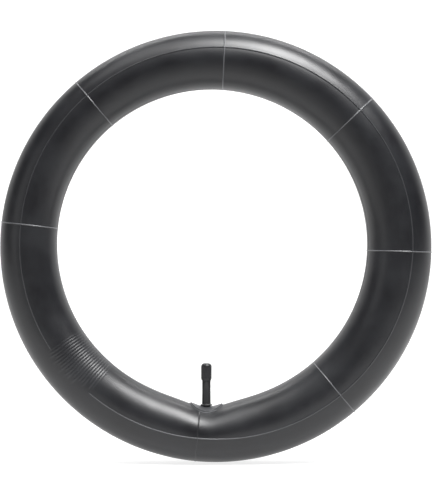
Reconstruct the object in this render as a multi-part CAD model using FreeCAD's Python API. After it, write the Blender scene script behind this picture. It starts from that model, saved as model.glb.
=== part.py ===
import FreeCAD, Part
import os
from math import asin, cos, pi, radians, sin, sqrt, tan

# Inner tube for a 305 mm bead-seat (16 inch) bicycle wheel, blown up to its free round shape, with a
# straight rubber-covered car-type valve (8V1 thread).
# Frame: millimetres, origin at the wheel's centre, +Y along the wheel's axle, +Z up. The tube stands
# upright with its valve near the bottom and the stem upright, along +Z.

# ---- tube ----
inner_radius = 151.0         # wheel's centre to the tube's inner side, mean round the ring
section_width = 59.0         # radial width of the blown-up section, mean round the ring
wall = 0.7                   # butyl wall once blown up
swell = 4.1                  # the section is this much wider on its fat side, and narrower opposite
swell_direction = -25.0      # degrees from +X towards +Z
pinch_depth = 8.3            # the stiff valve pad holds the inner side back by this much
pinch_half_angle = 7.5       # degrees round the ring at which the pinch has halved
pinch_bulge = 0.3            # share of the pinch that reappears as axial width
valve_offset = -9.2          # the stem's axis lies this far along +X from the wheel's centre
valve_hole_radius = 3.1      # air hole through the wall, under the pad

# ---- valve pad ----
pad_radius = 16.5
pad_steps = 3                # moulded steps from the thin rim up to full thickness
pad_step_width = 0.8
pad_step_height = 0.5
bond_depth = 0.2             # how far pad and jacket are fused into the wall

# ---- rubber jacket of the stem ----
stem_radius = 4.15
stem_height = 41.6           # tube's inner side to the tip of the stem
foot_flange = 1.65           # foot collar stands out from the stem by this much
foot_height = 1.3
foot_gap = 0.05              # foot stands this clear of the pad's highest point under it
shoulder_cover = 0.1         # top of the jacket, inside the cap's skirt, past the cap thread's crests
shoulder_length = 4.0
jacket_setback = 0.6         # top of the jacket below the first thread
jacket_bore_step = 0.25      # air way below the brass insert, wider than the insert's by this

# ---- cap thread, 8V1 (32 threads to the inch) ----
cap_thread_radius = 3.85     # crests of the stem's thread
cap_thread_pitch = 0.79375
cap_thread_length = 10.5
cap_thread_clearance = 0.1   # radial, between stem and cap
thread_chamfer = 0.4
thread_relief = 0.05         # plain necks and chambers lie this much past a thread's roots

# ---- core thread, 5V1 (36 threads to the inch) ----
core_thread_radius = 2.6     # crests of the plug's thread
core_thread_pitch = 0.70556
core_thread_clearance = 0.08

# ---- brass insert ----
insert_stand = 5.6           # insert's lower end above the tube's inner side
insert_cover = 0.85          # rubber over the barbs in the stem
insert_cover_top = 0.65      # and at least this much in the shoulder
insert_barb_depth = 0.35
insert_barb_pitch = 3.0
insert_bore_clearance = 0.1  # radial, round the core's barrel
bonded_gap = 0.02            # glue line left between pieces that are bonded or seated together

# ---- valve core ----
pin_radius = 0.75
pin_recess = 0.4             # top of the pin below the tip of the stem
pin_clearance = 0.05         # running fit of the pin in the plug's bridge
plug_recess = 2.2            # top of the plug below the tip
plug_bridge_height = 2.0     # narrow top that the core tool turns
plug_bridge_wall = 0.3       # bridge either side of the pin's hole
plug_bridge_root = 0.8       # the bridge reaches this far down into the threaded ring
plug_thread_length = 3.5
plug_wall = 0.9              # threaded ring, crests to bore
barrel_wall = 0.55
barrel_clearance = 0.15      # radial, round the pin's collar
barrel_length = 10.5
barrel_floor = 1.6
barrel_floor_clearance = 0.2  # radial, round the pin
barrel_lip_width = 0.4
barrel_lip_height = 0.6
seal_groove_depth = 0.23
seal_groove_start = 1.2      # below the top of the barrel
seal_groove_length = 2.6
collar_width = 0.4           # collar stands out from the pin by this much
collar_height = 0.6
collar_drop = 0.3            # collar below the plug when the valve is shut
spring_wire = 0.25
spring_turns = 9
spring_end_gap = 0.03
cup_overlap = 0.35           # cup reaches this far past the barrel's lip
cup_wall = 0.25
face_seal_height = 1.0
face_seal_proud = 0.35       # seal stands out of the cup by this much
seal_contact_gap = 0.03
rivet_width = 0.4            # rivet stands out from the pin by this much
rivet_height = 0.5

# ---- dust cap ----
cap_wall = 1.25              # outside of the cap to the chamber over its thread
cap_height = 16.7
cap_skirt_height = 2.4       # tapered lower end
cap_skirt_wall = 0.6         # at the skirt's lower rim
cap_skirt_clearance = 0.2    # radial, over the jacket's shoulder
cap_dome_height = 4.1
cap_flat_radius = 2.5
cap_roof = 1.1
cap_thread_lead = 0.5        # the cap's thread starts and ends this far inside the stem's
cap_flutes = 8
cap_flute_radius = 1.1
cap_flute_depth = 0.22
cap_seal_height = 0.95
cap_seal_gap = 0.05

# ---- resolution of the freeform tube ----
ring_poles = 120
section_poles = 16

Vector = FreeCAD.Vector
up = Vector(0, 0, 1)
valve_foot = Vector(valve_offset, 0, 0)
valve_angle = asin(valve_offset / (inner_radius + pinch_depth)) - pi / 2


def section(angle):
    """Mean radius, radial half-width and axial half-width of the section at an angle round the ring."""
    reach = 2 * sin((angle - valve_angle) / 2) / radians(pinch_half_angle)
    pinch = pinch_depth / (1 + reach ** 2)
    inner = inner_radius - swell * cos(angle - radians(swell_direction)) + pinch
    outer = inner_radius + section_width
    radial = (outer - inner) / 2
    axial = radial + (0.5 + pinch_bulge) * pinch
    return (outer + inner) / 2, radial, axial


def circle_factor(count):
    """How far out a periodic cubic spline's poles lie, so that the spline has the circle's radius."""
    return 3 / (2 + cos(2 * pi / count))


def tube_body(offset):
    """Solid inside the tube's outer skin, with that skin moved outwards by offset."""
    ring_factor = circle_factor(ring_poles)
    section_factor = circle_factor(section_poles)
    step = 2 * pi / ring_poles
    rows = []
    for i in range(ring_poles):
        angle = step * i
        before, here, after = section(angle - step), section(angle), section(angle + step)
        # a spline cuts corners, so its poles stand out by a sixth of the change of slope
        middle, radial, axial = [h + (2 * h - b - a) / 6 for b, h, a in zip(before, here, after)]
        row = []
        for j in range(section_poles):
            around = 2 * pi * j / section_poles
            out = (middle + section_factor * (radial + offset) * cos(around)) * ring_factor
            side = -section_factor * (axial + offset) * sin(around)
            row.append(Vector(out * cos(angle), side, out * sin(angle)))
        rows.append(row)
    skin = Part.BSplineSurface()
    skin.buildFromPolesMultsKnots(
        rows,
        [1] * (ring_poles + 1),
        [1] * (section_poles + 1),
        list(range(ring_poles + 1)),
        list(range(section_poles + 1)),
        True,
        True,
        3,
        3,
    )
    body = Part.Solid(Part.Shell([skin.toShape()]))
    if body.Volume < 0:
        body.reverse()
    return body


def pad_height(across):
    """Height of the pad's top at a distance from the stem's axis, measured along +X."""
    angle = asin((valve_offset + across) / seat_radius) - pi / 2
    middle, radial, axial = section(angle)
    return (middle - radial - pad_steps * pad_step_height) * sin(angle)


def turned(outline):
    """Solid turned about the valve's axis from one half section.

    Each entry is a (radius, height) point, or four numbers for an arc: the radius and height it passes
    through, then those it ends at.
    """
    edges = []
    last = Vector(outline[-1][-2], 0, outline[-1][-1])
    for entry in outline:
        point = Vector(entry[-2], 0, entry[-1])
        if len(entry) == 4:
            through = Vector(entry[0], 0, entry[1])
            edges.append(Part.Arc(last, through, point).toShape())
        else:
            edges.append(Part.LineSegment(last, point).toShape())
        last = point
    solid = Part.Face(Part.Wire(edges)).revolve(Vector(0, 0, 0), up, 360)
    solid.translate(valve_foot)
    return solid


def rod(radius, bottom, top, x=0.0, y=0.0):
    """Upright cylinder between two heights, x and y away from the valve's axis."""
    return Part.makeCylinder(radius, top - bottom, Vector(valve_offset + x, y, bottom), up)


def ring(outer, inner, bottom, top):
    """Upright tube between two heights."""
    return rod(outer, bottom, top).cut(rod(inner, bottom - 1, top + 1))


def thread_depth(pitch):
    """Radial depth of a 60 degree thread with flats of an eighth and a quarter of the pitch."""
    return 0.625 * pitch * sqrt(3) / 2


def coil(pitch, length, radius, start):
    """Right-handed helix about the valve's axis, on a true cylinder (no cone angle), one edge a turn."""
    cone_angle = 0.0
    helix = Part.makeLongHelix(pitch, length, radius, cone_angle)
    helix.translate(valve_foot + up * start)
    return Part.Wire(helix)


def thread_groove(pitch, crest, outward, start, length):
    """Helical groove to cut into a rod (outward=-1) or a bore (outward=+1), beginning at start.

    crest is the radius of the surface that the groove is cut into.
    """
    overrun = pitch / 16
    flank = tan(radians(30))
    mouth_half = pitch * 7 / 16 + overrun * flank
    root_half = pitch / 8
    mouth = crest - outward * overrun
    root = crest + outward * thread_depth(pitch)
    corners = [
        valve_foot + Vector(mouth, 0, start - mouth_half),
        valve_foot + Vector(root, 0, start - root_half),
        valve_foot + Vector(root, 0, start + root_half),
        valve_foot + Vector(mouth, 0, start + mouth_half),
    ]
    profile = Part.makePolygon(corners + corners[:1])
    helix = coil(pitch, length, crest, start)
    groove = helix.makePipeShell([profile], True, True)
    if groove.Volume < 0:
        groove.reverse()
    return groove


def write(node, shape):
    """Check one piece and write it as its own STEP file."""
    if not shape.isValid() or shape.Volume <= 0:
        raise RuntimeError(f"{node} is not a sound solid")
    print(f"{node}: {len(shape.Solids)} solid, {shape.Volume:.1f} mm3")
    shape.exportStep(f"parts/{node}.step")


# ---- radii that follow from the fits ----
foot_radius = stem_radius + foot_flange
shoulder_radius = cap_thread_radius + shoulder_cover
insert_barb_radius = min(stem_radius - insert_cover, shoulder_radius - insert_cover_top)
cap_thread_root = cap_thread_radius - thread_depth(cap_thread_pitch)
cap_bore_minor = cap_thread_root + cap_thread_clearance
cap_chamber_radius = cap_thread_radius + cap_thread_clearance + thread_relief
core_thread_root = core_thread_radius - thread_depth(core_thread_pitch)
core_bore_minor = core_thread_root + core_thread_clearance
core_mouth_radius = core_thread_radius + core_thread_clearance + thread_relief
cup_bore_radius = pin_radius + bonded_gap
collar_radius = pin_radius + collar_width
rivet_radius = pin_radius + rivet_width
plug_bridge_width = 2 * (pin_radius + pin_clearance + plug_bridge_wall)
plug_bore_radius = core_thread_radius - plug_wall
barrel_bore_radius = collar_radius + barrel_clearance
barrel_radius = barrel_bore_radius + barrel_wall
barrel_floor_bore = pin_radius + barrel_floor_clearance
barrel_lip_radius = barrel_floor_bore + barrel_lip_width
seal_groove_radius = barrel_radius - seal_groove_depth
cup_radius = barrel_lip_radius + cup_overlap
insert_lower_bore = barrel_radius + insert_bore_clearance
jacket_bore_radius = insert_lower_bore + jacket_bore_step
cap_radius = cap_chamber_radius + cap_wall
cap_skirt_bore = shoulder_radius + cap_skirt_clearance
cap_skirt_radius = cap_skirt_bore + cap_skirt_wall

# ---- heights along the valve, worked out from the sizes above ----
seat_middle, seat_radial, seat_axial = section(valve_angle)
seat_radius = seat_middle - seat_radial
seat = seat_radius * sin(valve_angle)
tip = seat + stem_height
thread_bottom = tip - cap_thread_length
jacket_top = thread_bottom - jacket_setback
shoulder_bottom = jacket_top - shoulder_length
insert_bottom = seat + insert_stand
foot_bottom = max(pad_height(foot_radius), pad_height(-foot_radius)) + foot_gap
foot_top = foot_bottom + foot_height

cap_seal_bottom = tip + cap_seal_gap
cap_seal_top = cap_seal_bottom + cap_seal_height
cap_top = cap_seal_top + cap_roof
cap_bottom = cap_top - cap_height
cap_thread_bottom = thread_bottom + cap_thread_lead
cap_thread_top = tip - cap_thread_lead

plug_top = tip - plug_recess
plug_thread_top = plug_top - plug_bridge_height
plug_bottom = plug_thread_top - plug_thread_length
barrel_top = plug_bottom - bonded_gap
barrel_bottom = barrel_top - barrel_length
groove_top = barrel_top - seal_groove_start
groove_bottom = groove_top - seal_groove_length
collar_top = plug_bottom - collar_drop
collar_bottom = collar_top - collar_height
spring_bottom = barrel_bottom + barrel_floor
face_seal_top = barrel_bottom - seal_contact_gap
face_seal_bottom = face_seal_top - face_seal_height
cup_bottom = face_seal_bottom - bonded_gap - cup_wall
cup_top = face_seal_top - face_seal_proud
rivet_top = cup_bottom - bonded_gap
pin_bottom = rivet_top - rivet_height
pin_top = tip - pin_recess


def make_tube(outside):
    """Hollow butyl ring with the valve's air hole."""
    shell = outside.cut(tube_body(-wall))
    return shell.cut(rod(valve_hole_radius, seat - 4 * wall, seat + 4 * wall))


def make_valve_pad(bonding_face):
    """Stepped rubber disc that follows the tube's surface, fused into it and bored for the jacket."""
    pad = None
    for step in range(pad_steps):
        outer = pad_radius - step * pad_step_width
        layer = tube_body((step + 1) * pad_step_height)
        layer = layer.common(rod(outer, seat - pad_radius, seat + pad_radius))
        pad = layer if pad is None else pad.fuse(layer)
    pad = pad.cut(bonding_face)
    return pad.cut(rod(stem_radius + bonded_gap, seat - pad_radius, seat + pad_radius))


def make_stem_rubber(bonding_face):
    """Moulded jacket: foot collar on the pad, straight stem, narrower shoulder under the cap."""
    edge = foot_height / 2
    bevel = edge * (1 - sqrt(0.5))
    outside = [
        (jacket_bore_radius, jacket_top),
        (jacket_bore_radius, seat - stem_radius),
        (stem_radius, seat - stem_radius),
        (stem_radius, foot_bottom),
        (foot_radius, foot_bottom),
        (foot_radius, foot_top - edge),
        (foot_radius - bevel, foot_top - bevel, foot_radius - edge, foot_top),
        (stem_radius, foot_top),
        (stem_radius, shoulder_bottom),
        (shoulder_radius, shoulder_bottom),
        (shoulder_radius, jacket_top),
    ]
    return turned(outside).cut(bonding_face).cut(turned(insert_outline(bonded_gap)))


def insert_outline(grow):
    """Half section of the brass insert without its bore, with its sides moved outwards by grow."""
    barb = insert_barb_radius + grow
    root = barb - insert_barb_depth
    neck = cap_thread_root - thread_relief + grow
    crest = cap_thread_radius + grow
    land = insert_barb_pitch / 2
    outline = [(0, insert_bottom - grow), (barb, insert_bottom - grow)]
    height = insert_bottom + land
    while height + insert_barb_pitch < shoulder_bottom:
        outline.append((barb, height))
        outline.append((root, height + insert_barb_depth))
        outline.append((root, height + land))
        outline.append((barb, height + land + insert_barb_depth))
        height += insert_barb_pitch
    outline.append((barb, height))
    outline.append((root, height + insert_barb_depth))
    outline.append((root, jacket_top - thread_relief))
    outline.append((neck, jacket_top - thread_relief))
    outline.append((neck, thread_bottom))
    outline.append((crest, thread_bottom + thread_chamfer))
    outline.append((crest, tip - thread_chamfer))
    outline.append((crest - thread_chamfer, tip))
    outline.append((0, tip))
    return outline


def make_stem_insert():
    """Brass insert: cap thread outside; core thread, conical seat and air way inside."""
    bore = [
        (0, insert_bottom - bonded_gap),
        (insert_lower_bore, insert_bottom - bonded_gap),
        (insert_lower_bore, groove_bottom),
        (core_bore_minor, groove_top),
        (core_bore_minor, tip - (core_mouth_radius - core_bore_minor)),
        (core_mouth_radius, tip),
        (0, tip),
    ]
    blank = turned(insert_outline(0.0)).cut(turned(bore))
    start = thread_bottom - cap_thread_pitch
    length = tip - start + cap_thread_pitch
    outside = thread_groove(cap_thread_pitch, cap_thread_radius, -1, start, length)
    start = plug_bottom - core_thread_pitch
    length = tip - start + core_thread_pitch
    inside = thread_groove(core_thread_pitch, core_bore_minor, 1, start, length)
    return blank.cut(outside).cut(inside)


def make_core_plug():
    """Threaded ring that holds the core down, with a bridge across its top that guides the pin."""
    plug = rod(core_thread_radius, plug_bottom, plug_thread_top)
    start = plug_bottom - core_thread_pitch / 2
    length = plug_thread_top - start + core_thread_pitch
    plug = plug.cut(thread_groove(core_thread_pitch, core_thread_radius, -1, start, length))
    plug = plug.cut(rod(plug_bore_radius, plug_bottom, plug_thread_top))
    half = core_thread_root - thread_relief
    bridge = Part.makeBox(
        2 * half, plug_bridge_width, plug_bridge_height + plug_bridge_root,
        valve_foot + Vector(-half, -plug_bridge_width / 2, plug_thread_top - plug_bridge_root))
    bridge = bridge.common(rod(half, plug_bottom, plug_top))
    plug = plug.fuse(bridge)
    return plug.cut(rod(pin_radius + pin_clearance, plug_bottom, plug_top))


def make_core_seal():
    """Tapered sealing sleeve that sits in the barrel's groove and on the insert's conical seat."""
    inner = seal_groove_radius + bonded_gap
    top = groove_top - bonded_gap
    bottom = groove_bottom + bonded_gap
    return turned([
        (inner, bottom),
        (insert_lower_bore - bonded_gap, bottom),
        (core_bore_minor - 2 * bonded_gap, top),
        (inner, top),
    ])


def make_core_barrel():
    """Brass sleeve under the plug: groove for the seal, spring chamber, floor and sealing lip."""
    return turned([
        (barrel_floor_bore, barrel_bottom),
        (barrel_lip_radius, barrel_bottom),
        (barrel_lip_radius, barrel_bottom + barrel_lip_height),
        (barrel_radius, barrel_bottom + barrel_lip_height),
        (barrel_radius, groove_bottom),
        (seal_groove_radius, groove_bottom),
        (seal_groove_radius, groove_top),
        (barrel_radius, groove_top),
        (barrel_radius, barrel_top),
        (barrel_bore_radius, barrel_top),
        (barrel_bore_radius, spring_bottom),
        (barrel_floor_bore, spring_bottom),
    ])


def make_core_pin():
    """Pin with a round tip, the collar that the spring pushes up and the riveted lower end."""
    tip_bevel = pin_radius * (1 - sqrt(0.5))
    return turned([
        (0, pin_bottom),
        (rivet_radius, pin_bottom),
        (rivet_radius, rivet_top),
        (pin_radius, rivet_top),
        (pin_radius, collar_bottom),
        (collar_radius, collar_bottom),
        (collar_radius, collar_top),
        (pin_radius, collar_top),
        (pin_radius, pin_top - pin_radius),
        (pin_radius - tip_bevel, pin_top - tip_bevel, 0, pin_top),
    ])


def make_core_spring():
    """Return spring: a wire coil between the barrel's floor and the pin's collar."""
    mean = (barrel_bore_radius + pin_radius) / 2
    low = spring_bottom + spring_wire / 2 + spring_end_gap
    high = collar_bottom - spring_wire / 2 - spring_end_gap
    helix = coil((high - low) / spring_turns, high - low, mean, low)
    circle = Part.makeCircle(spring_wire / 2, valve_foot + Vector(mean, 0, low), Vector(0, 1, 0))
    return helix.makePipeShell([Part.Wire(circle)], True, True)


def make_core_cup():
    """Brass cup at the lower end of the pin."""
    return turned([
        (cup_bore_radius, cup_bottom),
        (cup_radius, cup_bottom),
        (cup_radius, cup_top),
        (cup_radius - cup_wall, cup_top),
        (cup_radius - cup_wall, cup_bottom + cup_wall),
        (cup_bore_radius, cup_bottom + cup_wall),
    ])


def make_cup_seal():
    """Rubber washer in the cup, which closes on the barrel's lip."""
    outer = cup_radius - cup_wall - bonded_gap
    return ring(outer, cup_bore_radius, face_seal_bottom, face_seal_top)


def make_cap_shell():
    """Dust cap: domed and fluted outside; skirt, thread and seal chamber inside."""
    dome_bottom = cap_top - cap_dome_height
    dome_width = cap_radius - cap_flat_radius
    cap = turned([
        (0, cap_bottom),
        (cap_skirt_radius, cap_bottom),
        (cap_radius, cap_bottom + cap_skirt_height),
        (cap_radius, dome_bottom),
        (
            cap_flat_radius + dome_width * sqrt(0.5),
            dome_bottom + cap_dome_height * sqrt(0.5),
            cap_flat_radius,
            cap_top,
        ),
        (0, cap_top),
    ])
    for flute in range(cap_flutes):
        angle = 2 * pi * flute / cap_flutes
        out = cap_radius + cap_flute_radius - cap_flute_depth
        cap = cap.cut(rod(cap_flute_radius, cap_bottom, cap_top, out * cos(angle), out * sin(angle)))
    cap = cap.cut(rod(cap_skirt_bore, cap_bottom, cap_thread_bottom))
    cap = cap.cut(rod(cap_bore_minor, cap_thread_bottom, cap_thread_top))
    cap = cap.cut(rod(cap_chamber_radius, cap_thread_top, cap_seal_top + bonded_gap))
    start = thread_bottom - 1.5 * cap_thread_pitch
    length = cap_thread_top - start + cap_thread_pitch
    return cap.cut(thread_groove(cap_thread_pitch, cap_bore_minor, 1, start, length))


def make_cap_seal():
    """Rubber disc in the roof of the cap, which closes on the tip of the stem."""
    return rod(cap_chamber_radius - cap_seal_gap, cap_seal_bottom, cap_seal_top)


os.makedirs("parts", exist_ok=True)
tube_bonding_face = tube_body(-bond_depth)

write("tube", make_tube(tube_body(0.0)))
write("valve_pad", make_valve_pad(tube_bonding_face))
write("stem_rubber", make_stem_rubber(tube_bonding_face))
write("stem_insert", make_stem_insert())
write("core_plug", make_core_plug())
write("core_seal", make_core_seal())
write("core_barrel", make_core_barrel())
write("core_spring", make_core_spring())
write("core_pin", make_core_pin())
write("core_cup", make_core_cup())
write("cup_seal", make_cup_seal())
write("cap_shell", make_cap_shell())
write("cap_seal", make_cap_seal())
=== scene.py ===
from math import acos, asin, atan2, cos, exp, hypot, pi, radians, sin, sqrt

import bpy
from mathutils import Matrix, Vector


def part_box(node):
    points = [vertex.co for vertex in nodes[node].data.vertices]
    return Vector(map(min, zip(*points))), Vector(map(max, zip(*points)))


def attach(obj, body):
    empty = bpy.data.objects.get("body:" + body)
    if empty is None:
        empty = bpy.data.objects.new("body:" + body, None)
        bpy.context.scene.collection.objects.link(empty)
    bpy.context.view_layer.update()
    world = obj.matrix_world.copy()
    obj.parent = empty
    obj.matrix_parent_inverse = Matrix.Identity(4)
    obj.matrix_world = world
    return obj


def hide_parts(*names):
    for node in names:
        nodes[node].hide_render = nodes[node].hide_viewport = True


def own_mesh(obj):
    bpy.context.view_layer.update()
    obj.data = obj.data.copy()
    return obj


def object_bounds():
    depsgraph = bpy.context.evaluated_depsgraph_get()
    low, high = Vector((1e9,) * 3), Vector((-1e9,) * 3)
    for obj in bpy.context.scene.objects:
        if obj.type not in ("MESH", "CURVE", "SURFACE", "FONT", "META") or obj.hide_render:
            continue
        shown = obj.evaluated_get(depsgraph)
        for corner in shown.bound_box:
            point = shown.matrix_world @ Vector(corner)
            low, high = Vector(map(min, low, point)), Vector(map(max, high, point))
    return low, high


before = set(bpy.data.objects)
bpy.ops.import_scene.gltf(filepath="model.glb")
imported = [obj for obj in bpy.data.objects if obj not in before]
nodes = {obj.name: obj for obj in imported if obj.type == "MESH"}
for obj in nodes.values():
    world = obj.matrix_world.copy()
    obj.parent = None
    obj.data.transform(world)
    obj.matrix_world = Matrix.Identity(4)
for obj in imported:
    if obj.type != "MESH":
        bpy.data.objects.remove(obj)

mm = 0.001
cad_low, cad_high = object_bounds()
bpy.ops.object.select_all(action="DESELECT")


# ---- tube ----
# The blown-up butyl ring, cured in a ring-shaped mould. The mould leaves thin raised vent lines across
# it, a bead round each shoulder and a parting line round the inside, and the splice has fine ribs.
# Everything else sits on it.
inner_radius = 151 * mm              # wheel's centre to the tube's inner side, mean round the ring
section_width = 59 * mm
swell = 4.1 * mm                     # the section is this much wider on its fat side, less opposite
swell_direction = radians(-25)
pinch_depth = 8.3 * mm               # the stiff valve pad holds the inner side back by this much
pinch_half_angle = radians(7.5)
pinch_bulge = 0.3                    # share of the pinch that reappears as axial width
valve_offset = -9.2 * mm             # the stem's axis lies this far along X from the wheel's centre
valve_angle = asin(valve_offset / (inner_radius + pinch_depth)) - pi / 2

vent_angles = [radians(a) for a in (43.3, 87.5, 130.5, 173.5, 264.5, 310, 358.5)]
vent_height = 0.5 * mm
vent_width = 0.4 * mm
bead_around = radians(74.4)          # shoulder bead, round the section from its outermost point
bead_rise = radians(-5.0)            # the bead wanders: this much from bottom to top
bead_lean = radians(-3.25)           # and this much from left to right
bead_pinch = radians(9)              # it is drawn inwards at the valve, with the pinch
bead_height = 0.55 * mm
bead_width = 0.42 * mm
bead_highlight = 0.22                    # painted highlight on the beads, as this share of the vent lines' paleness
bead_highlight_more = 0.65               # and this much more beside the splice, a painted highlight where the key light catches the bead
bead_glint_angle = radians(262)
bead_glint_span = radians(32)
parting_height = 0.3 * mm
parting_width = 0.4 * mm
parting_wander = radians(6)
rib_angle = radians(220.6)           # middle of the splice
rib_half_span = radians(8.1)
rib_span_edge = 1.12                 # the ribs fade out between the span and this share of it
rib_count = 17
rib_height = 0.18 * mm
rib_outer_end = 192 * mm             # from the wheel's centre
rib_stagger = 3 * mm                 # the ends step in and out by this much
rib_slant = 9 * mm                   # and draw in by this much over the second half of the span
rib_fade = 5 * mm
ripple_height = 0.16 * mm            # creases that the stiff pad pulls into the skin
ripple_reach = 7 * mm
ripple_pitch = 1.9 * mm
ripple_half_width = 9 * mm
ripple_arc = 0.3                     # radians round the ring, either side of the valve
pad_radius = 16.5 * mm
skin_reach = 28 * mm                 # middle of the section to its skin, to measure along the skin
ring_reach = 175 * mm                # wheel's centre to the same skin's middle, likewise
ring_steps = 720
section_steps = 132
fine_band = 1.6 * mm                 # points lie closer together this far either side of a vent line
fine_arc = radians(3)                # and this far either side of a bead or the parting line
outer_arc = radians(2)


def pinch_share(angle):
    """1 at the valve, falling to a half at pinch_half_angle from it."""
    reach = 2 * sin((angle - valve_angle) / 2) / pinch_half_angle
    return 1 / (1 + reach ** 2)


def section(angle):
    """Mean radius, radial half-width and axial half-width of the section at an angle round the ring."""
    pinch = pinch_depth * pinch_share(angle)
    inner = inner_radius - swell * cos(angle - swell_direction) + pinch
    outer = inner_radius + section_width
    radial = (outer - inner) / 2
    return (outer + inner) / 2, radial, radial + (0.5 + pinch_bulge) * pinch


def turn_between(a, b):
    """Signed angle from b to a, the short way round."""
    return (a - b + pi) % (2 * pi) - pi


def hump(distance, width):
    """1 at no distance, falling smoothly to about a third at width and to nothing beyond."""
    return exp(-(distance / width) ** 2)


def ramp(value, start, end):
    """0 at start, 1 at end, smooth between."""
    t = min(max((value - start) / (end - start), 0), 1)
    return t * t * (3 - 2 * t)


def graded(count, density):
    """Angles round a full turn, closer together where density is high."""
    fine = 12000
    weights = [density(2 * pi * (i + 0.5) / fine) for i in range(fine)]
    share = sum(weights) / count
    angles, run = [], 0.0
    for i, weight in enumerate(weights):
        while len(angles) < count and run + weight > share * len(angles):
            part = (share * len(angles) - run) / weight
            angles.append(2 * pi * (i + part) / fine)
        run += weight
    return angles


def bead_shift(angle):
    """How far the shoulder bead lies from its mean place, round the section."""
    return bead_rise * sin(angle) + bead_lean * cos(angle) + bead_pinch * pinch_share(angle)


def parting_shift(angle):
    """How far the parting line lies from the section's innermost point."""
    return parting_wander * (1.1 + sin(3 * angle + 1))


def vent_relief(angle, out):
    """Height of the vent lines at one point."""
    away = min(abs(turn_between(angle, vent)) for vent in vent_angles) * out
    return vent_height * hump(away, vent_width)


def mould_relief(angle, around, out):
    """Height of the shoulder beads, the parting line and the splice's ribs at one point."""
    splice = 1 - ramp(abs(turn_between(angle, rib_angle)), rib_half_span, rib_half_span * rib_span_edge)
    height = 0.0
    fold = min(around, 2 * pi - around)
    away = abs(fold - bead_around - bead_shift(angle)) * skin_reach
    height = max(height, bead_height * (1 - splice) * hump(away, bead_width))
    away = abs(around - pi + parting_shift(angle)) * skin_reach
    height = max(height, parting_height * hump(away, parting_width))
    if splice > 0:
        turn = turn_between(angle, rib_angle) / (2 * rib_half_span) + 0.5
        rib = turn * rib_count
        end = rib_outer_end + (sin(int(rib) * 2.4) * rib_stagger - ramp(turn, 0.5, 1) * rib_slant)
        fade = 1 - ramp(out, end - rib_fade, end)
        wave = 0.5 - 0.5 * cos(2 * pi * rib)
        height = max(height, rib_height * splice * fade * wave)
    return height


def ripple(x, y):
    """Shallow creases in the skin round the pad's rim, strongest in front of and behind the stem."""
    across = x - valve_offset
    away = hypot(across, y) - pad_radius
    if not 0 < away < 3 * ripple_reach:
        return 0.0
    wave = 0.5 + 0.5 * cos(across / ripple_pitch + 0.4)
    fade = hump(away, ripple_reach) * ramp(away, 0, 1 * mm) * hump(across, ripple_half_width)
    return ripple_height * wave * fade


def ring_density(angle):
    """How close together the points lie round the ring."""
    near_vent = max(hump(turn_between(angle, vent) * ring_reach, fine_band) for vent in vent_angles)
    near_ribs = 1 - ramp(abs(turn_between(angle, rib_angle)), rib_half_span * 1.05, rib_half_span * 1.3)
    return 1 + 8 * near_vent + 3.2 * near_ribs


def section_density(around):
    """How close together the points lie round the section."""
    fold = min(around, 2 * pi - around)
    lines = hump(fold - bead_around, fine_arc) + hump(fold - pi, fine_arc) + 0.6 * hump(fold, outer_arc)
    return 1 + 6 * lines


columns = graded(ring_steps, ring_density)
rows = graded(section_steps, section_density)
ring_radius = inner_radius + section_width / 2
bpy.ops.mesh.primitive_circle_add(
    vertices=section_steps, radius=section_width / 2,
    location=(ring_radius, 0, 0), rotation=(pi / 2, 0, 0))
tube_skin = bpy.context.object
tube_skin.name = "tube_skin"
bpy.ops.object.transform_apply(location=True, rotation=True, scale=True)
turning = tube_skin.modifiers.new("turning", "SCREW")
turning.axis = "Z"
turning.angle = 2 * pi
turning.steps = ring_steps
turning.render_steps = ring_steps
bpy.ops.object.modifier_apply(modifier="turning")
# The ring is fatter on one side and pinched at the valve, which no operator does, so each point of the
# turned ring, whose axis is Z, is set on the section of its own angle, with the axis along Y.
raised = tube_skin.data.attributes.new("raised", "FLOAT", "POINT")
for vertex in tube_skin.data.vertices:
    spot = vertex.co
    ring_turn = atan2(spot.y, spot.x) / (2 * pi)
    section_turn = atan2(spot.z, hypot(spot.x, spot.y) - ring_radius) / (2 * pi)
    angle = columns[round(ring_turn * ring_steps) % ring_steps]
    fold = rows[round(section_turn * section_steps) % section_steps]
    inward = ((1 - cos(fold)) / 2) ** 12
    around = fold + bead_shift(angle) * sin(fold) - parting_shift(angle) * inward
    middle, radial, axial = section(angle)
    out = middle + radial * cos(around)
    vent_lift = vent_relief(angle, out)
    mould_lift = mould_relief(angle, around, out)
    lift = max(vent_lift, mould_lift)
    # The raised lines are painted paler than the skin, a painted highlight where light catches them. It
    # is left off the vent lines near the valve, which show dark there.
    talc_and_highlight = bead_highlight + bead_highlight_more * hump(turn_between(angle, bead_glint_angle), bead_glint_span)
    paleness = max(vent_lift * (1 - pinch_share(angle)), talc_and_highlight * mould_lift) / vent_height
    if abs(around - pi) < pi / 2 and abs(turn_between(angle, valve_angle)) < ripple_arc:
        lift += ripple(out * cos(angle), -axial * sin(around))
    out = middle + (radial + lift) * cos(around)
    vertex.co = (out * cos(angle), -(axial + lift) * sin(around), out * sin(angle))
    raised.data[vertex.index].value = paleness
bpy.ops.object.mode_set(mode="EDIT")
bpy.ops.mesh.select_all(action="SELECT")
bpy.ops.mesh.remove_doubles(threshold=0.001 * mm)
bpy.ops.mesh.normals_make_consistent(inside=False)
bpy.ops.object.mode_set(mode="OBJECT")
bpy.ops.object.shade_smooth()


def linear(hex_colour):
    """sRGB hex colour as linear RGBA."""
    parts = [int(hex_colour[i:i + 2], 16) / 255 for i in (1, 3, 5)]
    return [p / 12.92 if p <= 0.04045 else ((p + 0.055) / 1.055) ** 2.4 for p in parts] + [1.0]


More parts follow.
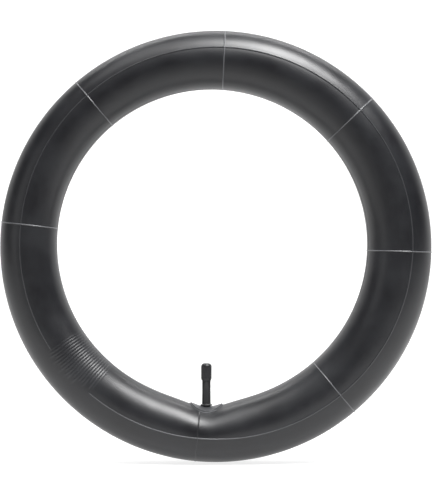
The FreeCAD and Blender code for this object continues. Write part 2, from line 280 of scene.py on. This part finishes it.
def add_node(material, kind, settings, output=0):
    """Add a node. A setting that is a socket is linked, a plain value is set."""
    node = material.node_tree.nodes.new(kind)
    for key, value in settings.items():
        if isinstance(value, bpy.types.NodeSocket):
            material.node_tree.links.new(value, node.inputs[key])
        elif key in node.inputs:
            node.inputs[key].default_value = value
        else:
            setattr(node, key, value)
    return node.outputs[output] if node.outputs else None


def blank_material(name):
    """New material with an empty node tree."""
    material = bpy.data.materials.new(name)
    material.use_nodes = True
    material.node_tree.nodes.clear()
    return material


# Butyl rubber, press-cured against polished steel and dusted with talc: near black, a soft broad sheen,
# a very fine grain, and a faint grey bloom in cloudy patches where the talc stays.
butyl = blank_material("butyl_rubber_press_cured")
place = add_node(butyl, "ShaderNodeTexCoord", {}, "Object")
talc_and_highlight = add_node(butyl, "ShaderNodeTexNoise", {
    "Vector": place, "Scale": 1 / (38 * mm), "Detail": 5.0, "Roughness": 0.6})
# talc grains are under 0.05 mm; they are drawn at 0.5 mm to show at all
grain = add_node(butyl, "ShaderNodeTexNoise", {
    "Vector": place, "Scale": 1 / (0.5 * mm), "Detail": 3.0, "Roughness": 0.7})
sag = add_node(butyl, "ShaderNodeTexNoise", {
    "Vector": place, "Scale": 1 / (24 * mm), "Detail": 1.0, "Roughness": 0.4})
bloom_share = add_node(butyl, "ShaderNodeMapRange", {
    "Value": talc_and_highlight, "From Min": 0.35, "From Max": 0.75})
smooth_colour = add_node(butyl, "ShaderNodeMixRGB", {
    "Fac": bloom_share, "Color1": linear("#17171a"), "Color2": linear("#222326")})
# painted highlight: where the skin's raised lines are, the colour is mixed towards a pale grey
line_share = add_node(butyl, "ShaderNodeAttribute", {"attribute_name": "raised"}, "Fac")
colour = add_node(butyl, "ShaderNodeMixRGB", {
    "Fac": line_share, "Color1": smooth_colour, "Color2": linear("#66676a")})
roughness = add_node(butyl, "ShaderNodeMapRange", {
    "Value": talc_and_highlight, "From Min": 0.3, "From Max": 0.7, "To Min": 0.33, "To Max": 0.43})
grain_bump = add_node(butyl, "ShaderNodeBump", {
    "Height": grain, "Strength": 0.25, "Distance": 0.03 * mm})
skin_bump = add_node(butyl, "ShaderNodeBump", {
    "Height": sag, "Normal": grain_bump, "Strength": 0.5, "Distance": 0.5 * mm})
shader = add_node(butyl, "ShaderNodeBsdfPrincipled", {
    "Base Color": colour, "Roughness": roughness, "IOR": 1.52, "Normal": skin_bump})
add_node(butyl, "ShaderNodeOutputMaterial", {"Surface": shader})

tube_skin.data.materials.append(butyl)
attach(tube_skin, "tube_and_stem")
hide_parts("tube")


# ---- valve pad ----
# A disc of firmer rubber, vulcanised to the inner side of the tube. It follows the tube's curve, has a
# steep rim with a thin flange round it, and carries the stem.
pad_bore = 4.17 * mm
pad_bond = -0.2 * mm                 # sunk this far into the skin, so that no gap shows
pad_height = 1.5 * mm
pad_profile = [                      # radius, height over the tube's skin
    (pad_bore, pad_bond), (pad_bore, pad_height), (5.5 * mm, pad_height), (7 * mm, pad_height),
    (9 * mm, pad_height), (11 * mm, pad_height), (13 * mm, pad_height), (14.5 * mm, pad_height),
    (15.1 * mm, pad_height), (15.35 * mm, 1.44 * mm), (15.48 * mm, 1.3 * mm), (15.52 * mm, 1.05 * mm),
    (15.55 * mm, 0.5 * mm), (15.62 * mm, 0.42 * mm), (15.8 * mm, 0.4 * mm), (16.2 * mm, 0.38 * mm),
    (16.4 * mm, 0.3 * mm), (pad_radius, 0.15 * mm), (pad_radius, pad_bond)]
pad_sides = 144


def extrude_rings(name, profile, sides):
    """Closed ring of revolution on the Z axis: a circle, extruded loop by loop and joined to itself."""
    bpy.ops.object.select_all(action="DESELECT")
    bpy.ops.mesh.primitive_circle_add(vertices=sides, radius=profile[0][0], location=(0, 0, 0))
    piece = bpy.context.object
    piece.name = name
    bpy.ops.object.mode_set(mode="EDIT")
    bpy.ops.mesh.select_mode(type="EDGE")
    bpy.ops.mesh.select_all(action="SELECT")
    bpy.ops.transform.translate(value=(0, 0, profile[0][1]))
    for (last_radius, last_height), (radius, height) in zip(profile, profile[1:]):
        rise = height - last_height
        bpy.ops.mesh.extrude_edges_move(TRANSFORM_OT_translate={"value": (0, 0, rise)})
        share = radius / last_radius
        bpy.ops.transform.resize(value=(share, share, 1), center_override=(0, 0, height))
    bpy.ops.mesh.select_all(action="SELECT")
    bpy.ops.mesh.region_to_loop()
    bpy.ops.mesh.bridge_edge_loops()
    bpy.ops.mesh.select_all(action="SELECT")
    bpy.ops.mesh.normals_make_consistent(inside=False)
    bpy.ops.object.mode_set(mode="OBJECT")
    bpy.ops.object.shade_smooth_by_angle(angle=radians(50))
    return piece


def inner_side(x, y, lift):
    """Height of the tube's inner side at the bottom of the ring, raised by lift."""
    angle = valve_angle
    for _ in range(14):              # each round brings the angle nearer to the one that lies at x
        middle, radial, axial = section(angle)
        out = middle - (radial + lift) * sqrt(1 - (y / (axial + lift)) ** 2)
        angle = -acos(x / out)
    return out * sin(angle)


valve_pad_skin = extrude_rings("valve_pad_skin", pad_profile, pad_sides)
for vertex in valve_pad_skin.data.vertices:
    x = vertex.co.x + valve_offset
    vertex.co = (x, vertex.co.y, inner_side(x, vertex.co.y, vertex.co.z))

# Natural rubber compound, compression moulded against a blasted steel cavity: a little greyer and more
# matt than the tube, with an even fine grain.
pad_rubber = blank_material("natural_rubber_compression_moulded")
place = add_node(pad_rubber, "ShaderNodeTexCoord", {}, "Object")
mottle = add_node(pad_rubber, "ShaderNodeTexNoise", {
    "Vector": place, "Scale": 1 / (6 * mm), "Detail": 4.0})
# the blasted grain is about 0.1 mm; it is drawn at 0.4 mm to show
blast = add_node(pad_rubber, "ShaderNodeTexNoise", {
    "Vector": place, "Scale": 1 / (0.4 * mm), "Detail": 2.0})
colour = add_node(pad_rubber, "ShaderNodeMixRGB", {
    "Fac": mottle, "Color1": linear("#303134"), "Color2": linear("#46474a")})
bump = add_node(pad_rubber, "ShaderNodeBump", {
    "Height": blast, "Strength": 0.4, "Distance": 0.05 * mm})
shader = add_node(pad_rubber, "ShaderNodeBsdfPrincipled", {
    "Base Color": colour, "Roughness": 0.46, "IOR": 1.52, "Normal": bump})
add_node(pad_rubber, "ShaderNodeOutputMaterial", {"Surface": shader})

valve_pad_skin.data.materials.append(pad_rubber)
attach(valve_pad_skin, "tube_and_stem")
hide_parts("valve_pad")


# ---- stem rubber ----
# The rubber jacket moulded round the brass insert: a rounded foot on the pad, a straight stem with a
# slight draft and a fine mould line down its front and back, and a narrower shoulder inside the cap.
stem_low, stem_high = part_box("stem_rubber")
insert_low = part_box("stem_insert")[0]
cap_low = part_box("cap_shell")[0]
foot_radius = 5.8 * mm
pad_left = inner_side(valve_offset - foot_radius, 0, pad_height)
pad_right = inner_side(valve_offset + foot_radius, 0, pad_height)
foot_bottom = max(pad_left, pad_right) + 0.05 * mm
foot_top = foot_bottom + 1.3 * mm
shoulder_bottom = cap_low.z - 0.5 * mm
stem_radius = 4.15 * mm
stem_bore = 2.2 * mm
shoulder_radius = 3.95 * mm
insert_bore = 3.34 * mm              # the jacket's wider bore, which the insert fills
stem_sides = 96
stem_profile = [                     # radius, height
    (stem_bore, stem_low.z), (stem_radius, stem_low.z), (stem_radius, foot_bottom - 0.03 * mm),
    (5.5 * mm, foot_bottom - 0.03 * mm), (5.72 * mm, foot_bottom + 0.12 * mm),
    (foot_radius, foot_bottom + 0.4 * mm), (foot_radius, foot_top - 0.62 * mm),
    (5.72 * mm, foot_top - 0.32 * mm), (5.5 * mm, foot_top - 0.1 * mm),
    (5.15 * mm, foot_top), (4.7 * mm, foot_top + 0.05 * mm), (4.45 * mm, foot_top + 0.25 * mm),
    (4.36 * mm, foot_top + 0.7 * mm), (4.3 * mm, foot_top + 3 * mm), (4.22 * mm, foot_top + 8 * mm),
    (stem_radius, foot_top + 14 * mm), (stem_radius, shoulder_bottom - 0.75 * mm),
    (4.28 * mm, shoulder_bottom - 0.62 * mm), (4.32 * mm, shoulder_bottom - 0.4 * mm),
    (4.28 * mm, shoulder_bottom - 0.15 * mm), (4.1 * mm, shoulder_bottom),
    (shoulder_radius, shoulder_bottom + 0.02 * mm), (shoulder_radius, stem_high.z - 0.25 * mm),
    (3.88 * mm, stem_high.z - 0.06 * mm), (3.7 * mm, stem_high.z), (insert_bore, stem_high.z),
    (insert_bore, insert_low.z - 0.03 * mm), (stem_bore, insert_low.z - 0.03 * mm)]
stem_jacket = extrude_rings("stem_jacket", stem_profile, stem_sides)
mould_line_height = 0.14 * mm
mould_line_width = 0.22 * mm
for vertex in stem_jacket.data.vertices:
    radius = hypot(vertex.co.x, vertex.co.y)
    if radius > stem_radius - 0.05 * mm and foot_top < vertex.co.z < shoulder_bottom - 0.7 * mm:
        vertex.co.xy *= 1 + mould_line_height * hump(vertex.co.x, mould_line_width) / radius
    vertex.co.x += valve_offset

# Carbon-black rubber, injection moulded in a split mould: near black and satin, with faint flow streaks
# along the stem.
jacket_rubber = blank_material("carbon_black_rubber_injection_moulded")
place = add_node(jacket_rubber, "ShaderNodeTexCoord", {}, "Object")
along = add_node(jacket_rubber, "ShaderNodeMapping", {
    "Vector": place, "Scale": (1 / (0.7 * mm), 1 / (0.7 * mm), 1 / (9 * mm))})
streaks = add_node(jacket_rubber, "ShaderNodeTexNoise", {
    "Vector": along, "Scale": 1.0, "Detail": 3.0})
colour = add_node(jacket_rubber, "ShaderNodeMixRGB", {
    "Fac": streaks, "Color1": linear("#161617"), "Color2": linear("#2a2a2c")})
roughness = add_node(jacket_rubber, "ShaderNodeMapRange", {
    "Value": streaks, "To Min": 0.32, "To Max": 0.48})
bump = add_node(jacket_rubber, "ShaderNodeBump", {
    "Height": streaks, "Strength": 0.3, "Distance": 0.08 * mm})
shader = add_node(jacket_rubber, "ShaderNodeBsdfPrincipled", {
    "Base Color": colour, "Roughness": roughness, "IOR": 1.52, "Normal": bump})
add_node(jacket_rubber, "ShaderNodeOutputMaterial", {"Surface": shader})

stem_jacket.data.materials.append(jacket_rubber)
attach(stem_jacket, "tube_and_stem")
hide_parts("stem_rubber")


# ---- brass insert and valve core ----
# Turned parts: the threaded insert in the jacket, and the core's plug, barrel, pin and cup. They keep
# the CAD shapes, which have the real threads.
brass = blank_material("free_cutting_brass_turned")
place = add_node(brass, "ShaderNodeTexCoord", {}, "Object")
# lathe feed marks are about 0.05 mm apart; they are drawn at 0.2 mm to show
feed = add_node(brass, "ShaderNodeTexWave", {
    "Vector": place, "Scale": 1 / (1.3 * mm), "bands_direction": "Z", "Distortion": 0.6, "Detail": 2.0})
tarnish = add_node(brass, "ShaderNodeTexNoise", {
    "Vector": place, "Scale": 1 / (2.5 * mm), "Detail": 4.0})
tarnish_share = add_node(brass, "ShaderNodeMapRange", {
    "Value": tarnish, "From Min": 0.4, "From Max": 0.8})
colour = add_node(brass, "ShaderNodeMixRGB", {
    "Fac": tarnish_share, "Color1": linear("#d8b46a"), "Color2": linear("#9c7a3e")})
roughness = add_node(brass, "ShaderNodeMapRange", {"Value": tarnish, "To Min": 0.2, "To Max": 0.42})
bump = add_node(brass, "ShaderNodeBump", {"Height": feed, "Strength": 0.15, "Distance": 0.02 * mm})
shader = add_node(brass, "ShaderNodeBsdfPrincipled", {
    "Base Color": colour, "Metallic": 1.0, "Roughness": roughness, "Normal": bump})
add_node(brass, "ShaderNodeOutputMaterial", {"Surface": shader})


def coat_nodes(names, material):
    """Give CAD nodes one material."""
    for name in names:
        nodes[name].data.materials.clear()
        nodes[name].data.materials.append(material)


coat_nodes(("stem_insert", "core_plug", "core_barrel", "core_pin", "core_cup"), brass)


# ---- core seal ----
# The tapered sleeve that seals the core in the insert: a turned ring of PTFE, waxy and faintly mottled.
ptfe = blank_material("ptfe_turned")
place = add_node(ptfe, "ShaderNodeTexCoord", {}, "Object")
mottle = add_node(ptfe, "ShaderNodeTexNoise", {
    "Vector": place, "Scale": 1 / (1.2 * mm), "Detail": 3.0})
colour = add_node(ptfe, "ShaderNodeMixRGB", {
    "Fac": mottle, "Color1": linear("#d9d6cc"), "Color2": linear("#efece4")})
shader = add_node(ptfe, "ShaderNodeBsdfPrincipled", {
    "Base Color": colour, "Roughness": 0.4, "IOR": 1.38,
    "Subsurface Weight": 0.1, "Subsurface Scale": 0.5 * mm})
add_node(ptfe, "ShaderNodeOutputMaterial", {"Surface": shader})
coat_nodes(("core_seal",), ptfe)


# ---- return spring ----
# A coil of spring-steel wire between the barrel's floor and the pin's collar.
spring_low, spring_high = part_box("core_spring")
wire_radius = 0.125 * mm
coil_turns = 9
coil_steps = 28
coil_radius = (spring_high.x - spring_low.x) / 2 - wire_radius
coil_rise = spring_high.z - spring_low.z - 2 * wire_radius
bpy.ops.object.select_all(action="DESELECT")
bpy.ops.mesh.primitive_circle_add(
    vertices=12, radius=wire_radius,
    location=(coil_radius, 0, spring_low.z + wire_radius), rotation=(pi / 2, 0, 0))
return_spring = bpy.context.object
return_spring.name = "return_spring"
bpy.ops.object.transform_apply(location=True, rotation=True, scale=True)
winding = return_spring.modifiers.new("winding", "SCREW")
winding.axis = "Z"
winding.angle = 2 * pi
winding.screw_offset = coil_rise / coil_turns
winding.iterations = coil_turns
winding.steps = coil_steps
winding.render_steps = coil_steps
bpy.ops.object.modifier_apply(modifier="winding")
bpy.ops.object.mode_set(mode="EDIT")
bpy.ops.mesh.select_mode(type="EDGE")
bpy.ops.mesh.select_all(action="DESELECT")
bpy.ops.mesh.select_non_manifold()
bpy.ops.mesh.edge_face_add()
bpy.ops.mesh.select_all(action="SELECT")
bpy.ops.mesh.normals_make_consistent(inside=False)
bpy.ops.transform.translate(value=(valve_offset, 0, 0))
bpy.ops.object.mode_set(mode="OBJECT")
bpy.ops.object.shade_smooth_by_angle(angle=radians(50))

# Hard spring wire, drawn through a die: bright grey, finely scratched.
spring_steel = blank_material("spring_steel_drawn")
place = add_node(spring_steel, "ShaderNodeTexCoord", {}, "Object")
drawn = add_node(spring_steel, "ShaderNodeTexNoise", {
    "Vector": place, "Scale": 1 / (0.15 * mm), "Detail": 2.0})
roughness = add_node(spring_steel, "ShaderNodeMapRange", {
    "Value": drawn, "To Min": 0.2, "To Max": 0.38})
shader = add_node(spring_steel, "ShaderNodeBsdfPrincipled", {
    "Base Color": linear("#b9bbbd"), "Metallic": 1.0, "Roughness": roughness})
add_node(spring_steel, "ShaderNodeOutputMaterial", {"Surface": shader})

return_spring.data.materials.append(spring_steel)
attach(return_spring, "tube_and_stem")
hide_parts("core_spring")
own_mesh(return_spring)


# ---- rubber washers ----
# The washer in the core's cup and the disc in the cap's roof, both punched from EPDM sheet: dull black
# with a fine even grain.
epdm = blank_material("epdm_sheet_punched")
place = add_node(epdm, "ShaderNodeTexCoord", {}, "Object")
grain = add_node(epdm, "ShaderNodeTexNoise", {
    "Vector": place, "Scale": 1 / (0.3 * mm), "Detail": 2.0})
colour = add_node(epdm, "ShaderNodeMixRGB", {
    "Fac": grain, "Color1": linear("#161616"), "Color2": linear("#242424")})
bump = add_node(epdm, "ShaderNodeBump", {"Height": grain, "Strength": 0.4, "Distance": 0.04 * mm})
shader = add_node(epdm, "ShaderNodeBsdfPrincipled", {
    "Base Color": colour, "Roughness": 0.7, "IOR": 1.5, "Normal": bump})
add_node(epdm, "ShaderNodeOutputMaterial", {"Surface": shader})
coat_nodes(("cup_seal", "cap_seal"), epdm)


# ---- dust cap ----
# A fluted cap with a domed top, screwed on the stem's thread. It keeps its CAD shape, thread and all.
# Black polyethylene, injection moulded: satin, slightly waxy, with faint scuffs from fingers.
polyethylene = blank_material("polyethylene_injection_moulded")
place = add_node(polyethylene, "ShaderNodeTexCoord", {}, "Object")
scuffs = add_node(polyethylene, "ShaderNodeTexNoise", {
    "Vector": place, "Scale": 1 / (1.6 * mm), "Detail": 5.0})
colour = add_node(polyethylene, "ShaderNodeMixRGB", {
    "Fac": scuffs, "Color1": linear("#141416"), "Color2": linear("#202124")})
roughness = add_node(polyethylene, "ShaderNodeMapRange", {
    "Value": scuffs, "To Min": 0.3, "To Max": 0.46})
bump = add_node(polyethylene, "ShaderNodeBump", {
    "Height": scuffs, "Strength": 0.2, "Distance": 0.05 * mm})
shader = add_node(polyethylene, "ShaderNodeBsdfPrincipled", {
    "Base Color": colour, "Roughness": roughness, "IOR": 1.51, "Normal": bump})
add_node(polyethylene, "ShaderNodeOutputMaterial", {"Surface": shader})
coat_nodes(("cap_shell",), polyethylene)


# ---- studio ----
# A white floor that curves up into the backdrop, soft boxes for the long highlights on the tube, and a
# pale room behind. The camera is last.
floor_height = cad_low.z - 0.5 * mm
floor_half_width = 7
floor_half_length = 4
floor_shift = -2.4                   # most of the floor lies in front of the tube
wall_height = 3
bpy.ops.object.select_all(action="DESELECT")
bpy.ops.mesh.primitive_plane_add(size=2, location=(0, 0, floor_height))
studio_floor = bpy.context.object
studio_floor.name = "studio_floor"
bpy.ops.object.mode_set(mode="EDIT")
bpy.ops.transform.resize(
    value=(floor_half_width, floor_half_length, 1), center_override=(0, 0, floor_height))
bpy.ops.transform.translate(value=(0, floor_shift, 0))
bpy.ops.object.mode_set(mode="OBJECT")
for face in studio_floor.data.polygons:
    face.select = False
for edge in studio_floor.data.edges:  # only the back edge is carried up
    edge.select = all(studio_floor.data.vertices[end].co.y > 0 for end in edge.vertices)
bpy.ops.object.mode_set(mode="EDIT")
sweep_radius = 0.6
sweep_steps = 12
for step in range(sweep_steps):
    turn = (step + 0.5) * pi / 2 / sweep_steps
    length = sweep_radius * pi / 2 / sweep_steps
    bpy.ops.mesh.extrude_edges_move(
        TRANSFORM_OT_translate={"value": (0, length * cos(turn), length * sin(turn))})
bpy.ops.mesh.extrude_edges_move(TRANSFORM_OT_translate={"value": (0, 0, wall_height)})
bpy.ops.object.mode_set(mode="OBJECT")
bpy.ops.object.transform_apply(location=True, rotation=True, scale=True)
bpy.ops.object.shade_smooth()

# Matt white painted board with a faint roller texture, lit through from below. Its front part lights
# the tube less than it shows, which keeps the tube's front dark.
board_glow = 0.8
white_board = blank_material("white_board_painted")
place = add_node(white_board, "ShaderNodeTexCoord", {}, "Object")
roller = add_node(white_board, "ShaderNodeTexNoise", {
    "Vector": place, "Scale": 1 / (3 * mm), "Detail": 2.0})
bump = add_node(white_board, "ShaderNodeBump", {
    "Height": roller, "Strength": 0.05, "Distance": 0.1 * mm})
depth = add_node(white_board, "ShaderNodeSeparateXYZ", {"Vector": place}, "Y")
cast_glow = add_node(white_board, "ShaderNodeMapRange", {
    "Value": depth, "From Min": -0.6, "From Max": -0.2, "To Min": 0.05, "To Max": board_glow})
seen = add_node(white_board, "ShaderNodeLightPath", {}, "Is Camera Ray")
glow = add_node(white_board, "ShaderNodeMixRGB", {
    "Fac": seen, "Color1": cast_glow, "Color2": (board_glow, board_glow, board_glow, 1)})
shader = add_node(white_board, "ShaderNodeBsdfPrincipled", {
    "Base Color": linear("#9c9c9c"), "Roughness": 0.9, "Normal": bump,
    "Emission Color": linear("#ffffff"), "Emission Strength": glow})
add_node(white_board, "ShaderNodeOutputMaterial", {"Surface": shader})
studio_floor.data.materials.append(white_board)


def softbox(name, place, aim, width, height, watts):
    """Rectangular soft light at place, facing aim. Metres and watts."""
    bpy.ops.object.light_add(type="AREA", location=place)
    light = bpy.context.object
    light.name = name
    light.data.shape = "RECTANGLE"
    light.data.size = width
    light.data.size_y = height
    light.data.energy = watts
    light.rotation_euler = (Vector(aim) - Vector(place)).to_track_quat("-Z", "Y").to_euler()


softbox("key_softbox", (0.42, -0.5, 1.25), (0.05, -0.1, 0), 0.75, 0.7, 38)
softbox("overhead_softbox", (-0.2, -0.45, 1.3), (0, -0.1, 0), 1.4, 0.8, 9)
softbox("left_softbox", (-1.3, -0.85, 0.15), (0, 0, 0), 0.6, 1.0, 2)
softbox("front_fill", (-0.75, -1.5, 0.95), (0, 0, 0), 0.9, 0.9, 0.8)
softbox("backdrop_light", (0, 0.9, 1.35), (0, 1.9, 0.1), 1.8, 0.5, 30)

studio_world = bpy.data.worlds.new("studio_world")
studio_world.use_nodes = True
studio_world.node_tree.nodes.clear()
seen = add_node(studio_world, "ShaderNodeLightPath", {}, "Is Camera Ray")
room = add_node(studio_world, "ShaderNodeMixRGB", {
    "Fac": seen, "Color1": linear("#2f3033"), "Color2": linear("#f0f0f0")})
background = add_node(studio_world, "ShaderNodeBackground", {"Color": room})
add_node(studio_world, "ShaderNodeOutputWorld", {"Surface": background})
bpy.context.scene.world = studio_world

# The camera looks straight along the wheel's axle, level with the middle of the ring.
camera_distance = 1.8
view_width = 423.9 * mm
sensor_width = 36
camera_shift = (1.66 * mm, -1.07 * mm)  # sideways and up
bpy.ops.object.camera_add(
    location=(camera_shift[0], -camera_distance, camera_shift[1]), rotation=(pi / 2, 0, 0))
camera = bpy.context.object
camera.name = "main_camera"
camera.data.sensor_fit = "HORIZONTAL"
camera.data.sensor_width = sensor_width
camera.data.lens = sensor_width * camera_distance / view_width
bpy.context.scene.camera = camera
bpy.context.scene.view_settings.view_transform = "Standard"
